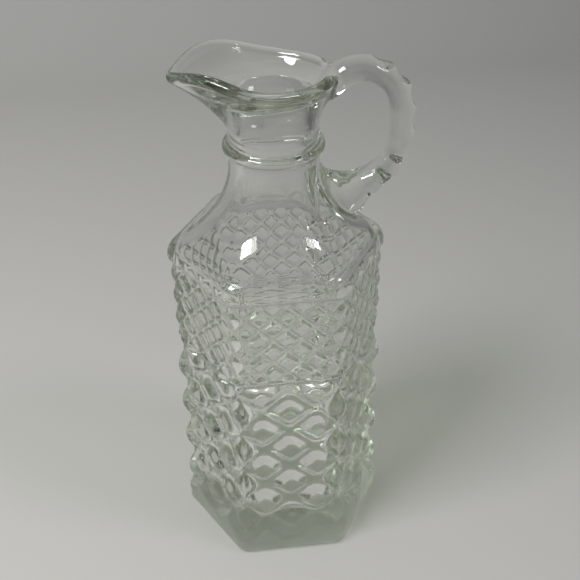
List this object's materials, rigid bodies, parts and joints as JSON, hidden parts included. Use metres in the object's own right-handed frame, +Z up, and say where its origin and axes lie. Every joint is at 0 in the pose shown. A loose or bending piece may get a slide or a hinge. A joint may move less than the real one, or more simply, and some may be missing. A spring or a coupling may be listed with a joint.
{
  "type": "glass carafe",
  "caption": "Small clear pressed-glass pouring carafe: hexagonal body cut with diamonds, beaded neck, spouted lip and a notched loop handle.",
  "frame": {"origin": "centre of the underside of the base, on the axis of the body", "axes": "+Z up along the bottle's axis, -X towards the spout, +X towards the handle, both over corners of the hexagon"},
  "size_m": [0.0707, 0.0566, 0.1575],
  "materials": {
    "glass": "clear gloss with a faint grey-green tint"
  },
  "bodies": {
    "root": {"glass_carafe": "glass"}
  },
  "joints": []
}
